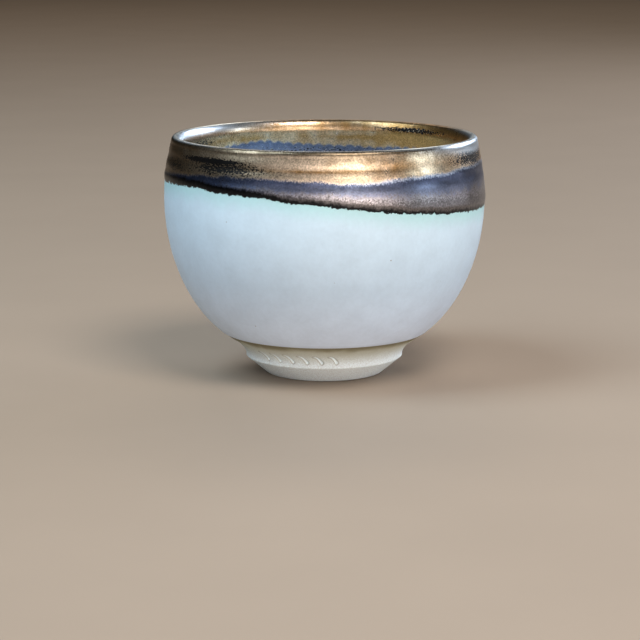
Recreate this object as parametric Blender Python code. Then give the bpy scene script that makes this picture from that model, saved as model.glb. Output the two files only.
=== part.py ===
# Sake cup thrown in stoneware: an oval bowl on a small trimmed foot.
# Metres, +Z up, origin at the centre of the foot's underside. The front of the cup looks along -Y,
# and angles around it run from the front towards +X.

import math

import bmesh
import bpy
from mathutils import Vector

# The bowl
CUP_HEIGHT = 0.0500
BELLY_RADIUS = 0.0335
BELLY_HEIGHT = 0.0370
BODY_FULLNESS = 2.62
LIP_DRAW_IN = 0.0019
LIP_WALL = 0.0022
LIP_CREST_IN = 0.0009
LIP_OUTER_DROP = 0.0011
LIP_INNER_DROP = 0.0024
BELLY_WALL = 0.0026
FLOOR_WALL = 0.0045
FLOOR_FULLNESS = 2.5

# The foot: a recess below, a flat ring to stand on, a bevel up to a sharp edge, and a cove above it
FOOT_RADIUS = 0.0165
FOOT_EDGE_HEIGHT = 0.0035
FOOT_BEVEL = 0.0042
FOOT_RING_WIDTH = 0.0028
RECESS_DEPTH = 0.0022
RECESS_FILLET = 0.0010
COVE_WIDTH = 0.0028
COVE_HEIGHT = 0.0038
COVE_FLARE = 0.10
COVE_PULL = 0.4

# Throwing rings left by the fingers below the lip
RING_COUNT = 2
RING_DROP = 0.0038
RING_PITCH = 0.0029
RING_DEPTH = 0.00008

# The second glaze ran down from the lip and stopped in a thick roll. The roll's lower edge is
# higher on the left than on the right.
ROLL_DROP = 0.0114
ROLL_SWING = 0.0023
ROLL_LOW_ANGLE = math.radians(102.0)
ROLL_RIPPLE = 0.0008
ROLL_RIPPLE_ANGLE = math.radians(-38.0)
ROLL_THICKNESS = 0.00028
ROLL_RISE = 0.0009
ROLL_FADE = 0.0058
ROLL_CLEARANCE = 0.0033

# A row of shallow slanted strokes, cut into the cove on the left of the front
STROKE_COUNT = 6
STROKE_FIRST_ANGLE = math.radians(-50.0)
STROKE_STEP = math.radians(10.5)
STROKE_RUN = 0.0021
STROKE_FALL = 0.0015
STROKE_BEND = 0.0004
STROKE_HEAD = 0.00055
STROKE_TAIL = 0.00025
STROKE_TIP = 0.8
STROKE_DEPTH = 0.00035

# How finely the turned form is cut into faces
SIDES = 64
RECESS_STEPS = 3
COVE_STEPS = 7
BODY_STEPS = 11
BAND_STEPS = 24
LIP_STEPS = 5
INSIDE_HIGH_STEPS = 4
INSIDE_LOW_STEPS = 9
STROKE_SIDES = 8
STROKE_STEPS = 4
SLOPE_STEP = 1e-5
WELD = 1e-6
SHARP_ANGLE = math.radians(35.0)

# The three surfaces: colour, roughness and metallic value
WHITE_GLAZE = ((0.60, 0.66, 0.71), 0.35, 0.0)
LUSTRE_GLAZE = ((0.28, 0.18, 0.09), 0.30, 0.8)
BARE_STONEWARE = ((0.56, 0.51, 0.42), 0.75, 0.0)

# Heights and radii that follow from the sizes above
LIP_RADIUS = BELLY_RADIUS - LIP_DRAW_IN
FLOOR_HEIGHT = RECESS_DEPTH + FLOOR_WALL
COVE_TOP_RADIUS = FOOT_RADIUS + COVE_WIDTH
COVE_TOP_HEIGHT = FOOT_EDGE_HEIGHT + COVE_HEIGHT
INSIDE_RADIUS = BELLY_RADIUS - BELLY_WALL
ROLL_LEVEL = CUP_HEIGHT - ROLL_DROP
BAND_START = ROLL_LEVEL - ROLL_SWING - ROLL_RIPPLE - ROLL_CLEARANCE


def oval_reach(rise, radius, widest, fullness):
    # how far an oval reaches from its widest point, when it has this radius at this rise
    return rise / math.sqrt(1.0 - (radius / widest) ** fullness)


LOW_REACH = oval_reach(BELLY_HEIGHT - COVE_TOP_HEIGHT, COVE_TOP_RADIUS, BELLY_RADIUS, BODY_FULLNESS)
HIGH_REACH = oval_reach(CUP_HEIGHT - BELLY_HEIGHT, LIP_RADIUS, BELLY_RADIUS, 2.0)


def bowl_radius(height):
    # two half ovals that meet at the belly
    rise = height - BELLY_HEIGHT
    if rise < 0.0:
        return BELLY_RADIUS * (1.0 - (rise / LOW_REACH) ** 2) ** (1.0 / BODY_FULLNESS)
    return BELLY_RADIUS * math.sqrt(1.0 - (rise / HIGH_REACH) ** 2)


def slope_of(radius_at, height):
    # how fast a radius grows with height there
    return (radius_at(height + SLOPE_STEP) - radius_at(height - SLOPE_STEP)) / (2.0 * SLOPE_STEP)


def smooth(share):
    share = min(max(share, 0.0), 1.0)
    return share * share * (3.0 - 2.0 * share)


def throwing_rings(height):
    # each ring is one shallow round groove, a pitch wide
    depth = 0.0
    for index in range(RING_COUNT):
        middle = CUP_HEIGHT - RING_DROP - index * RING_PITCH
        away = (height - middle) / (0.5 * RING_PITCH)
        if abs(away) < 1.0:
            depth += RING_DEPTH * 0.5 * (1.0 + math.cos(math.pi * away))
    return depth


def roll_edge(angle):
    # height of the second glaze's lower edge around the cup
    swing = ROLL_SWING * math.cos(angle - ROLL_LOW_ANGLE)
    ripple = ROLL_RIPPLE * math.cos(2.0 * (angle - ROLL_RIPPLE_ANGLE))
    return ROLL_LEVEL - swing + ripple


def roll_thickness(above):
    # how far the roll stands out, at a distance above its edge
    return ROLL_THICKNESS * smooth(above / ROLL_RISE) * (1.0 - smooth(above / ROLL_FADE))


def recess_points():
    # the hollow below, from the axis out to the flat ring
    inner = FOOT_RADIUS - FOOT_BEVEL - FOOT_RING_WIDTH
    fillet = min(RECESS_FILLET, 0.9 * RECESS_DEPTH, 0.5 * inner)
    points = [(0.0, RECESS_DEPTH)]
    for index in range(RECESS_STEPS + 1):
        turn = math.radians(90.0) * index / RECESS_STEPS
        radius = inner - fillet + fillet * math.sin(turn)
        points.append((radius, RECESS_DEPTH - fillet + fillet * math.cos(turn)))
    return points + [(inner, 0.0)]


def cove_points():
    # from the foot's sharp edge up a hollow curve that runs into the bowl
    pull = COVE_PULL * COVE_HEIGHT
    slope = slope_of(bowl_radius, COVE_TOP_HEIGHT)
    length = math.hypot(slope, 1.0)
    edge = Vector((FOOT_RADIUS, FOOT_EDGE_HEIGHT))
    above_edge = edge + Vector((-COVE_FLARE, 1.0)) * pull
    top = Vector((COVE_TOP_RADIUS, COVE_TOP_HEIGHT))
    below_top = top - Vector((slope, 1.0)) * pull / length
    points = []
    for index in range(COVE_STEPS + 1):
        t = index / COVE_STEPS
        s = 1.0 - t
        point = edge * s ** 3 + above_edge * 3.0 * s * s * t + below_top * 3.0 * s * t * t + top * t ** 3
        points.append((point.x, point.y))
    return points


def cove_radius(height):
    # the cove's radius at a height, read along its curve
    points = cove_points()
    for (low_radius, low), (high_radius, high) in zip(points, points[1:]):
        if low <= height <= high:
            return low_radius + (high_radius - low_radius) * (height - low) / (high - low)
    return bowl_radius(height) if height > COVE_TOP_HEIGHT else FOOT_RADIUS


def lip_points():
    # two quarter ovals that meet at the crest: a short one outside and a longer, softer one inside
    start = CUP_HEIGHT - LIP_OUTER_DROP
    crest = bowl_radius(start) - LIP_CREST_IN
    points = []
    for index in range(LIP_STEPS):
        turn = math.radians(90.0) * index / LIP_STEPS
        points.append((crest + LIP_CREST_IN * math.cos(turn), start + LIP_OUTER_DROP * math.sin(turn)))
    inner = LIP_WALL - LIP_CREST_IN
    for index in range(LIP_STEPS + 1):
        turn = math.radians(90.0) * (1.0 + index / LIP_STEPS)
        height = CUP_HEIGHT - LIP_INNER_DROP * (1.0 - math.sin(turn))
        points.append((crest + inner * math.cos(turn), height))
    return points


def inside_points(lip_end):
    # from the lip down the inner wall to the middle of the floor
    radius, height = lip_end
    reach_up = oval_reach(height - BELLY_HEIGHT, radius, INSIDE_RADIUS, 2.0)
    points = []
    for index in range(1, INSIDE_HIGH_STEPS + 1):
        rise = (height - BELLY_HEIGHT) * (1.0 - index / INSIDE_HIGH_STEPS)
        points.append((INSIDE_RADIUS * math.sqrt(1.0 - (rise / reach_up) ** 2), BELLY_HEIGHT + rise))
    reach_down = BELLY_HEIGHT - FLOOR_HEIGHT
    for index in range(1, INSIDE_LOW_STEPS):
        turn = math.radians(90.0) * (1.0 - index / INSIDE_LOW_STEPS)
        radius = INSIDE_RADIUS * math.sin(turn) ** (2.0 / FLOOR_FULLNESS)
        points.append((radius, BELLY_HEIGHT - reach_down * math.cos(turn)))
    return points + [(0.0, FLOOR_HEIGHT)]


def bowl_points(lip_start):
    # from the top of the cove up to the lip, with closer rows where the second glaze lies
    points = []
    for index in range(1, BODY_STEPS + 1):
        height = COVE_TOP_HEIGHT + (BAND_START - COVE_TOP_HEIGHT) * index / BODY_STEPS
        points.append((bowl_radius(height), height))
    for index in range(1, BAND_STEPS):
        height = BAND_START + (lip_start - BAND_START) * index / BAND_STEPS
        points.append((bowl_radius(height), height))
    return points


def outline():
    # half of the cup's section, from the middle of the underside round to the middle of the floor
    lip = lip_points()
    outside = recess_points() + [(FOOT_RADIUS - FOOT_BEVEL, 0.0)] + cove_points() + bowl_points(lip[0][1])
    return outside + lip + inside_points(lip[-1])


def turn_outline(bm):
    verts = [bm.verts.new((radius, 0.0, height)) for radius, height in outline()]
    edges = [bm.edges.new(pair) for pair in zip(verts, verts[1:])]
    bmesh.ops.spin(bm, geom=verts + edges, cent=(0.0, 0.0, 0.0), axis=(0.0, 0.0, 1.0),
                   steps=SIDES, angle=math.tau, use_merge=True)
    bmesh.ops.remove_doubles(bm, verts=bm.verts, dist=WELD)
    bmesh.ops.recalc_face_normals(bm, faces=bm.faces)


def shape_band(bm):
    # the rows below the lip follow the second glaze's edge, and take its roll and the throwing rings
    lip_start = lip_points()[0][1]
    for vert in bm.verts:
        height = vert.co.z
        radius = math.hypot(vert.co.x, vert.co.y)
        if not BAND_START < height < lip_start - WELD or abs(radius - bowl_radius(height)) > WELD:
            continue
        edge = roll_edge(math.atan2(vert.co.x, -vert.co.y))
        below = (height - BAND_START) / (ROLL_LEVEL - BAND_START)
        above = (lip_start - height) / (lip_start - ROLL_LEVEL)
        height += (edge - ROLL_LEVEL) * min(below, above)
        new_radius = bowl_radius(height) - throwing_rings(height) + roll_thickness(height - edge)
        vert.co.x *= new_radius / radius
        vert.co.y *= new_radius / radius
        vert.co.z = height


def stroke_station(angle, height, size, depth):
    # one ring of a stroke's cutter, as a point sunk to a depth in the cove, and its outward direction
    slope = slope_of(cove_radius, height)
    out = Vector((math.sin(angle), -math.cos(angle), -slope)).normalized()
    radius = cove_radius(height)
    surface = Vector((radius * math.sin(angle), -radius * math.cos(angle), height))
    return surface + out * (size - depth), out


def add_stroke(bm, first_angle):
    # a slanted stroke with a thick lower end and a thin upper end, bent like a comma
    middle_height = FOOT_EDGE_HEIGHT + 0.5 * COVE_HEIGHT
    rings = []
    centres = []
    for index in range(STROKE_STEPS + 1):
        share = index / STROKE_STEPS
        size = STROKE_TAIL + (STROKE_HEAD - STROKE_TAIL) * share
        height = middle_height + STROKE_FALL * (0.5 - share) + STROKE_BEND * math.sin(math.pi * share)
        angle = first_angle + STROKE_RUN * share / COVE_TOP_RADIUS
        centre, out = stroke_station(angle, height, size, STROKE_DEPTH * size / STROKE_HEAD)
        along = Vector((math.cos(angle), math.sin(angle), 0.0))
        across = along * STROKE_FALL + Vector((0.0, 0.0, STROKE_RUN))
        across = (across - out * across.dot(out)).normalized()
        centres.append(centre)
        ring = []
        for side in range(STROKE_SIDES):
            turn = math.tau * side / STROKE_SIDES
            ring.append(bm.verts.new(centre + (out * math.cos(turn) + across * math.sin(turn)) * size))
        rings.append(ring)
    for low, high in zip(rings, rings[1:]):
        for side in range(STROKE_SIDES):
            after = (side + 1) % STROKE_SIDES
            bm.faces.new((low[side], low[after], high[after], high[side]))
    for ring, centre, beyond, size in ((rings[0], centres[0], centres[1], STROKE_TAIL),
                                       (rings[-1], centres[-1], centres[-2], STROKE_HEAD)):
        tip = bm.verts.new(centre + (centre - beyond).normalized() * size * STROKE_TIP)
        for side in range(STROKE_SIDES):
            bm.faces.new((ring[side], ring[(side + 1) % STROKE_SIDES], tip))


def make_strokes():
    mesh = bpy.data.meshes.new("strokeCutter")
    bm = bmesh.new()
    for index in range(STROKE_COUNT):
        add_stroke(bm, STROKE_FIRST_ANGLE + index * STROKE_STEP)
    bmesh.ops.recalc_face_normals(bm, faces=bm.faces)
    bm.to_mesh(mesh)
    bm.free()
    cutter = bpy.data.objects.new("strokeCutter", mesh)
    cutter.hide_render = True
    cutter.display_type = "WIRE"
    bpy.context.collection.objects.link(cutter)
    return cutter


def make_material(name, color, roughness, metallic):
    material = bpy.data.materials.new(name)
    material.use_nodes = True
    shader = material.node_tree.nodes["Principled BSDF"]
    shader.inputs["Base Color"].default_value = (*color, 1.0)
    shader.inputs["Roughness"].default_value = roughness
    shader.inputs["Metallic"].default_value = metallic
    return material


def choose_material(centre):
    # 0 is the white glaze, 1 the second glaze that the lip was dipped in, 2 the bare clay of the foot
    angle = math.atan2(centre.x, -centre.y)
    if centre.z > roll_edge(angle):
        return 1
    inside = math.hypot(centre.x, centre.y) < bowl_radius(max(centre.z, COVE_TOP_HEIGHT)) - 0.5 * LIP_WALL
    if centre.z < COVE_TOP_HEIGHT and not (inside and centre.z > RECESS_DEPTH + 0.5 * FLOOR_WALL):
        return 2
    return 0


def make_cup():
    mesh = bpy.data.meshes.new("cup")
    bm = bmesh.new()
    turn_outline(bm)
    shape_band(bm)
    for face in bm.faces:
        face.material_index = choose_material(face.calc_center_median())
    bm.to_mesh(mesh)
    bm.free()
    mesh.materials.append(make_material("white glaze", *WHITE_GLAZE))
    mesh.materials.append(make_material("lustre glaze", *LUSTRE_GLAZE))
    mesh.materials.append(make_material("bare stoneware", *BARE_STONEWARE))
    mesh.shade_smooth()
    mesh.set_sharp_from_angle(angle=SHARP_ANGLE)
    cup = bpy.data.objects.new("cup", mesh)
    bpy.context.collection.objects.link(cup)
    cut = cup.modifiers.new("strokes", "BOOLEAN")
    cut.operation = "DIFFERENCE"
    cut.object = make_strokes()
    return cup


for old in list(bpy.data.objects):
    bpy.data.objects.remove(old)

make_cup()
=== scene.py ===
import math

import bpy
import numpy as np
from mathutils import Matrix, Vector, noise


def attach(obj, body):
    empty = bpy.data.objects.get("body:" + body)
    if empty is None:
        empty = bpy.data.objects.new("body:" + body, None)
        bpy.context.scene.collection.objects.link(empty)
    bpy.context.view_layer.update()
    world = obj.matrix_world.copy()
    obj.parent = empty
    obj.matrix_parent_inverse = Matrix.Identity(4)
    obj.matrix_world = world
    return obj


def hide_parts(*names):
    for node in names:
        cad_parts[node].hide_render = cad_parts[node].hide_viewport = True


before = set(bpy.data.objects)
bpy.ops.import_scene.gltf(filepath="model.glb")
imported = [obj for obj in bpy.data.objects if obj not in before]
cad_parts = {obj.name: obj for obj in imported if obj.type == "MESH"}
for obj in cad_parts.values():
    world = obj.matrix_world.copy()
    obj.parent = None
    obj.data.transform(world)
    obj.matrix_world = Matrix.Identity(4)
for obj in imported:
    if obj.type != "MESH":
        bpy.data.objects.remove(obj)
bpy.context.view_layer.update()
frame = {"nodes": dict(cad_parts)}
mm = 0.001
print("frame loaded:", ", ".join(frame["nodes"]))


def hexColor(code):
    # an sRGB hex colour as the linear colour that the shaders want
    values = [int(code[i:i + 2], 16) / 255 for i in (1, 3, 5)]
    return [v / 12.92 if v <= 0.04045 else ((v + 0.055) / 1.055) ** 2.4 for v in values] + [1.0]


def addNode(tree, kind, inputs=None, output=None, stops=None, **settings):
    # adds a node, sets it and links it; stops are a ramp's colours, output is the socket to return
    node = tree.nodes.new(kind)
    for name, value in settings.items():
        setattr(node, name, value)
    for name, value in (inputs or {}).items():
        if isinstance(value, bpy.types.NodeSocket):
            tree.links.new(value, node.inputs[name])
        else:
            node.inputs[name].default_value = value
    if stops:
        ramp = node.color_ramp
        while len(ramp.elements) < len(stops):
            ramp.elements.new(1.0)
        for element, (place, color) in zip(ramp.elements, stops):
            element.position = place
            element.color = hexColor(color)
    return node if output is None else node.outputs[output]


# Lengths below are in millimetres and angles in degrees. Angles around the cup run from the
# front, which faces -Y, towards +X. The bowl and the foot have the sizes of the solid, but the
# height and the radii of belly and foot are a few hundredths less, as room for the finer relief.
bowl = {
    "height": 49.97,
    "bellyRadius": 33.47,
    "bellyHeight": 37.0,
    "fullness": 2.62,  # 2 gives an oval, more a fuller curve
    "lipRadius": 31.6,
    "lipWall": 2.2,
    "lipCrestIn": 0.9,
    "lipOuterDrop": 1.1,
    "lipInnerDrop": 2.4,
    "bellyWall": 2.6,
    "floorHeight": 6.7,
    "floorFullness": 2.5,
    "sides": 500,
    "wheelRadius": 20.0,  # only while it is being turned
    "weld": 0.001,
}

foot = {
    "radius": 16.48,
    "edgeHeight": 3.5,
    "bevel": 4.2,
    "ringWidth": 2.8,
    "recessDepth": 2.2,
    "recessFillet": 1.0,
    "softEdge": 0.12,
    "coveWidth": 2.8,
    "coveHeight": 3.8,
    "coveFlare": 0.1,
    "covePull": 0.4,
    "glazeLine": 8.75,
    "glazeStep": 0.14,
    "glazeStepWidth": 0.3,
    "glazeStepFade": 14.0,
}


def ovalReach(rise, radius, widest, fullness=2.0):
    # half the height of an oval that has this radius at this rise from its widest place
    return rise / math.sqrt(1.0 - (radius / widest) ** fullness)


coveTop = (foot["radius"] + foot["coveWidth"], foot["edgeHeight"] + foot["coveHeight"])
lowReach = ovalReach(bowl["bellyHeight"] - coveTop[1], coveTop[0], bowl["bellyRadius"], bowl["fullness"])
highReach = ovalReach(bowl["height"] - bowl["bellyHeight"], bowl["lipRadius"], bowl["bellyRadius"])


def bowlRadius(height):
    rise = np.asarray(height, float) - bowl["bellyHeight"]
    low = (1.0 - (np.minimum(rise, 0.0) / lowReach) ** 2) ** (1.0 / bowl["fullness"])
    high = np.sqrt(1.0 - (np.maximum(rise, 0.0) / highReach) ** 2)
    return bowl["bellyRadius"] * low * high


def bowlSlope(height, step=0.01):
    return float(bowlRadius(height + step) - bowlRadius(height - step)) / (2.0 * step)


def smooth(share):
    # eases from 0 to 1
    share = np.clip(share, 0.0, 1.0)
    return share * share * (3.0 - 2.0 * share)


def coveCurve(steps):
    # the hollow between the foot's edge and the bowl
    pull = foot["covePull"] * foot["coveHeight"]
    slope = bowlSlope(coveTop[1])
    edge = np.array((foot["radius"], foot["edgeHeight"]))
    top = np.array(coveTop)
    aboveEdge = edge + np.array((-foot["coveFlare"], 1.0)) * pull
    belowTop = top - np.array((slope, 1.0)) * pull / math.hypot(slope, 1.0)
    t = np.linspace(0.0, 1.0, steps + 1)[:, None]
    s = 1.0 - t
    return edge * s ** 3 + aboveEdge * 3 * s * s * t + belowTop * 3 * s * t * t + top * t ** 3


def lipCurve(steps):
    # two quarter ovals that meet at the crest: a short one outside and a longer, softer one inside
    start = bowl["height"] - bowl["lipOuterDrop"]
    crest = float(bowlRadius(start)) - bowl["lipCrestIn"]
    outer = (0.0, bowl["lipCrestIn"], bowl["lipOuterDrop"])
    inner = (0.5 * math.pi, bowl["lipWall"] - bowl["lipCrestIn"], bowl["lipInnerDrop"])
    points = []
    for begin, wide, drop in (outer, inner):
        for turn in np.linspace(begin, begin + 0.5 * math.pi, steps + 1)[1 if points else 0:]:
            points.append((crest + wide * math.cos(turn), bowl["height"] - drop * (1.0 - math.sin(turn))))
    return points


# How many rows of points each stretch of the outline gets. A second value draws them together
# towards the end of the stretch, or towards its start when it is negative.
rowPlan = {
    "recess": (0.0, 0.12, 0.35, 0.6, 0.8),  # shares of the way out to the fillet
    "fillet": 7,
    "bevel": (0.12, 0.3, 0.5, 0.7, 0.85, 0.96),  # shares of the way up
    "cove": 24,
    "aboveCove": 6,
    "glazeStep": (0.04, 0.12, 0.25, 0.45, 0.8),  # heights above the white glaze's line
    "body": 18,
    "belowEdge": (12, 0.85),
    "aboveEdge": (32, 0.5),
    "lip": 9,
    "insideAboveEdge": (24, 0.5),
    "insideBelowEdge": (10, -0.6),
    "floor": 25,
}

zones = {"under": 0, "foot": 1, "bowl": 2, "outsideBand": 3, "lip": 4, "insideBand": 5, "inside": 6}

lip = lipCurve(rowPlan["lip"])
insideWidest = bowl["bellyRadius"] - bowl["bellyWall"]
insideHighReach = ovalReach(lip[-1][1] - bowl["bellyHeight"], lip[-1][0], insideWidest)
insideLowReach = bowl["bellyHeight"] - bowl["floorHeight"]


def insideRadius(height):
    rise = np.asarray(height, float) - bowl["bellyHeight"]
    high = np.sqrt(1.0 - (np.maximum(rise, 0.0) / insideHighReach) ** 2)
    low = np.maximum(1.0 - (np.minimum(rise, 0.0) / insideLowReach) ** 2, 0.0)
    return insideWidest * high * low ** (1.0 / bowl["floorFullness"])


# The second glaze, outside and inside: where it stopped, how its edge wanders, how thick it is, and
# how far below its level the rows of points still follow its edge
outsideRun = {
    "level": 38.6,
    "swing": 2.3,
    "lowAngle": 102.0,
    "ripple": 0.8,
    "rippleAngle": -38.0,
    "wander": 0.4,
    "wanderLength": 6.0,
    "seed": 3.0,
    "thickness": 0.25,
    "rise": 1.6,
    "fade": 5.8,
    "follow": 7.0,
}

insideRun = {
    "level": 37.6,
    "swing": 1.4,
    "lowAngle": -150.0,
    "ripple": 0.5,
    "rippleAngle": 20.0,
    "wander": 0.5,
    "wanderLength": 7.0,
    "seed": 11.0,
    "thickness": 0.22,
    "rise": 1.6,
    "fade": 5.0,
    "follow": 5.0,
}

bandStart = outsideRun["level"] - outsideRun["follow"]
insideBandStart = insideRun["level"] - insideRun["follow"]


def spread(low, high, count, bunch=0.0):
    # steps after low up to high, drawn together near high, or near low when bunch is negative
    t = np.arange(1, count + 1) / count
    t = (1.0 - bunch) * t + bunch * (1.0 - (1.0 - t) ** 2)
    return low + (high - low) * t


def footOutline():
    # the underside, from its middle out to the foot's edge
    ringOuter = foot["radius"] - foot["bevel"]
    ringInner = ringOuter - foot["ringWidth"]
    fillet = foot["recessFillet"]
    deep = foot["recessDepth"]
    soft = foot["softEdge"]
    points = [(share * (ringInner - fillet), deep) for share in rowPlan["recess"]]
    for turn in np.linspace(0.0, 0.5 * math.pi, rowPlan["fillet"]):
        over, up = fillet * math.sin(turn), fillet * math.cos(turn)
        points.append((ringInner - fillet + over, deep - fillet + up))
    points += [(ringInner, soft), (ringInner + soft, 0.0), (0.5 * (ringInner + ringOuter), 0.0)]
    points += [(ringOuter - soft, 0.0), (ringOuter + 0.5 * soft, 0.5 * soft)]
    points += [(ringOuter + share * foot["bevel"], share * foot["edgeHeight"])
               for share in rowPlan["bevel"]]
    return points


def cupOutline():
    # rows of radius, height and zone, from the middle of the underside round to the middle of the floor
    rows = []

    def add(zone, points):
        rows.extend((float(radius), float(height), zones[zone]) for radius, height in points)

    add("under", footOutline())
    add("foot", coveCurve(rowPlan["cove"]))
    add("foot", [(bowlRadius(h), h) for h in spread(coveTop[1], foot["glazeLine"], rowPlan["aboveCove"])])

    glazed = [foot["glazeLine"] + rise for rise in rowPlan["glazeStep"]]
    body = np.concatenate([glazed, spread(glazed[-1], bandStart, rowPlan["body"])])
    add("bowl", [(bowlRadius(h), h) for h in body])

    lipStart, lipEnd = lip[0][1], lip[-1][1]
    belowEdge = spread(bandStart, outsideRun["level"], *rowPlan["belowEdge"])
    aboveEdge = lipStart - spread(0.0, lipStart - outsideRun["level"], *rowPlan["aboveEdge"])[::-1]
    band = np.concatenate([belowEdge, aboveEdge[1:]])
    add("outsideBand", [(bowlRadius(h), h) for h in band])
    add("lip", lip)

    innerAbove = lipEnd - spread(0.0, lipEnd - insideRun["level"], *rowPlan["insideAboveEdge"])
    innerBelow = insideRun["level"] - spread(0.0, insideRun["level"] - insideBandStart,
                                             *rowPlan["insideBelowEdge"])
    add("insideBand", [(insideRadius(h), h) for h in np.concatenate([innerAbove, innerBelow])])

    startTurn = math.acos((bowl["bellyHeight"] - insideBandStart) / insideLowReach)
    turns = np.linspace(startTurn, 0.0, rowPlan["floor"] + 2)[1:-1]
    add("inside", [(insideRadius(h), h) for h in bowl["bellyHeight"] - insideLowReach * np.cos(turns)])
    add("inside", [(0.0, bowl["floorHeight"])])
    return rows


def outlineObject(rows):
    mesh = bpy.data.meshes.new("outline")
    points = [(radius * mm, -height * mm, 0.0) for radius, height, _ in rows]
    mesh.from_pydata(points, [(i, i + 1) for i in range(len(points) - 1)], [])
    for column, name in enumerate(("rowRadius", "rowHeight", "zone")):
        values = [row[column] for row in rows]
        mesh.attributes.new(name, "FLOAT", "POINT").data.foreach_set("value", values)
    outline = bpy.data.objects.new("outline", mesh)
    bpy.context.scene.collection.objects.link(outline)
    return outline


def turningTree():
    # sweeps an outline once round the cup's axis, as the wheel does
    tree = bpy.data.node_groups.new("turning", "GeometryNodeTree")
    for name, kind in (("Geometry", "Geometry"), ("Sides", "Int"), ("Wheel Radius", "Float"),
                       ("Weld", "Float"), ("Material", "Material")):
        tree.interface.new_socket(name, in_out="INPUT", socket_type="NodeSocket" + kind)
    tree.interface.new_socket("Geometry", in_out="OUTPUT", socket_type="NodeSocketGeometry")
    start = addNode(tree, "NodeGroupInput")
    wheel = addNode(tree, "GeometryNodeCurvePrimitiveCircle",
                    {"Resolution": start.outputs["Sides"], "Radius": start.outputs["Wheel Radius"]},
                    "Curve")
    inward = addNode(tree, "ShaderNodeMath", {0: start.outputs["Wheel Radius"], 1: -1.0}, 0,
                     operation="MULTIPLY")
    shift = addNode(tree, "ShaderNodeCombineXYZ", {"X": inward}, "Vector")
    profile = addNode(tree, "GeometryNodeMeshToCurve", {"Mesh": start.outputs["Geometry"]}, "Curve")
    placed = addNode(tree, "GeometryNodeSetPosition", {"Geometry": profile, "Offset": shift}, "Geometry")
    swept = addNode(tree, "GeometryNodeCurveToMesh", {"Curve": wheel, "Profile Curve": placed}, "Mesh")
    welded = addNode(tree, "GeometryNodeMergeByDistance",
                     {"Geometry": swept, "Distance": start.outputs["Weld"]}, "Geometry")
    rounded = addNode(tree, "GeometryNodeSetShadeSmooth", {"Geometry": welded}, "Geometry")
    real = addNode(tree, "GeometryNodeRealizeInstances", {"Geometry": rounded}, "Geometry")
    finished = addNode(tree, "GeometryNodeSetMaterial",
                       {"Geometry": real, "Material": start.outputs["Material"]}, "Geometry")
    addNode(tree, "NodeGroupOutput", {"Geometry": finished})
    return tree


def turnOutline(rows, material):
    outline = outlineObject(rows)
    turning = outline.modifiers.new("turning", "NODES")
    turning.node_group = turningTree()
    values = {"Sides": bowl["sides"], "Wheel Radius": bowl["wheelRadius"] * mm, "Weld": bowl["weld"] * mm,
              "Material": material}
    for item in turning.node_group.interface.items_tree:
        if item.in_out == "INPUT" and item.name in values:
            turning[item.identifier] = values[item.name]
    evaluated = outline.evaluated_get(bpy.context.evaluated_depsgraph_get())
    mesh = bpy.data.meshes.new_from_object(evaluated)
    bpy.data.objects.remove(outline)
    return mesh


def wander(angles, line):
    # a soft wandering line round the cup
    lift = []
    for angle in angles:
        around = Vector((math.cos(angle), math.sin(angle), 0.0)) * bowl["bellyRadius"]
        spot = around / line["wanderLength"] + Vector((0.0, 0.0, line["seed"]))
        lift.append(line["wander"] * noise.noise(spot))
    return np.array(lift)


def runEdge(run, angles):
    # height of the second glaze's lower edge around the cup
    level = run["level"] - run["swing"] * np.cos(angles - math.radians(run["lowAngle"]))
    level += run["ripple"] * np.cos(2.0 * (angles - math.radians(run["rippleAngle"])))
    return level + wander(angles, run)


# At its edge this share of the second glaze's thickness rises at once, within this width
edgeStep = {"share": 0.3, "width": 0.2}


def runThickness(run, above):
    step = edgeStep["share"] * smooth(above / edgeStep["width"])
    swell = (1.0 - edgeStep["share"]) * smooth(above / run["rise"])
    return run["thickness"] * (step + swell) * (1.0 - smooth(above / run["fade"]))


def shiftBand(run, height, edge, low, high):
    # moves the rows of a band so that one of them follows the glaze's edge
    below = (height - low) / (run["level"] - low)
    above = (high - height) / (high - run["level"])
    return height + (edge - run["level"]) * np.minimum(below, above)


throwingRings = {"count": 2, "drop": 3.8, "pitch": 2.9, "depth": 0.08}


def ringDepth(height):
    depth = np.zeros_like(height)
    for index in range(throwingRings["count"]):
        middle = bowl["height"] - throwingRings["drop"] - index * throwingRings["pitch"]
        away = np.clip((height - middle) / (0.5 * throwingRings["pitch"]), -1.0, 1.0)
        depth += throwingRings["depth"] * 0.5 * (1.0 + np.cos(math.pi * away))
    return depth


# The row of slanted marks in the cove, each pressed deeper at its head, and leaning up by a share
# of its depth
strokes = {
    "count": 6,
    "firstAngle": -50.0,
    "stepAngle": 10.5,
    "run": 2.1,
    "fall": 1.5,
    "bend": 0.4,
    "head": 0.5,
    "tail": 0.2,
    "depth": 0.36,
    "steepness": 1.35,
    "lean": 0.5,
    "points": 25,
}


def strokeDepth(angles, height):
    # how deep the strokes are cut into the cove
    depth = np.zeros_like(height)
    middle = foot["edgeHeight"] + 0.5 * foot["coveHeight"]
    for index in range(strokes["count"]):
        start = math.radians(strokes["firstAngle"] + index * strokes["stepAngle"])
        along = (angles - start) * coveTop[0]
        for share in np.linspace(0.0, 1.0, strokes["points"]):
            size = strokes["tail"] + (strokes["head"] - strokes["tail"]) * share
            line = middle + strokes["fall"] * (0.5 - share) + strokes["bend"] * math.sin(math.pi * share)
            away = np.hypot(along - strokes["run"] * share, height - line)
            wall = smooth(strokes["steepness"] * (1.0 - away / size))
            depth = np.maximum(depth, strokes["depth"] * size / strokes["head"] * wall)
    return depth


# The faint groove that the fingers left in the floor; it fades to the middle and up the wall
fingerSpiral = {"depth": 0.09, "pitch": 4.2, "middle": 3.0, "top": 24.0, "fade": 10.0}


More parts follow.
